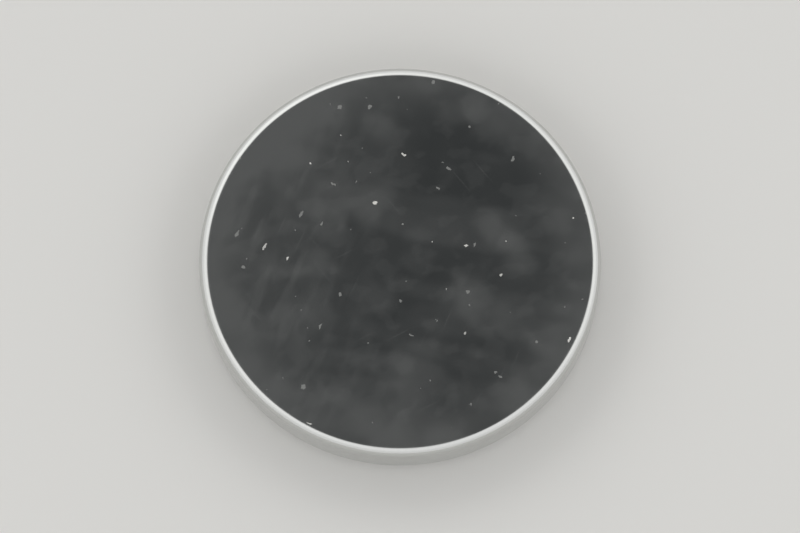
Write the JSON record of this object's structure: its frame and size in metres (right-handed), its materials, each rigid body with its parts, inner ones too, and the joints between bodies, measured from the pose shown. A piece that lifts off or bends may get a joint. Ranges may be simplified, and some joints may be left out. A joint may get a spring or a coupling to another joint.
{
  "type": "lithium coin cell",
  "caption": "Flat round lithium coin cell: a drawn steel can rolled over a plastic seal onto a pressed steel cap, with the lithium, separator, pellet and grid inside.",
  "frame": {"origin": "centre of the negative contact's face, which is the middle of the cell's base", "axes": "+Z along the cell's axis, from the negative contact to the positive face; X and Y across the cell"},
  "size_m": [0.02, 0.02, 0.0032],
  "materials": {
    "can_steel": "bright, as rolled and drawn",
    "cap_steel": "satin, as rolled and pressed",
    "seal_plastic": "moulded polypropylene",
    "lithium_metal": "dull, as punched from foil",
    "separator_felt": "nonwoven",
    "cathode_mix": "matte, pressed from powder",
    "grid_steel": "expanded sheet"
  },
  "bodies": {
    "root": {"positive_can": "can_steel", "negative_cap": "cap_steel", "seal_ring": "seal_plastic", "lithium_disc": "lithium_metal", "separator": "separator_felt", "cathode_pellet": "cathode_mix", "collector_grid": "grid_steel"}
  },
  "joints": []
}
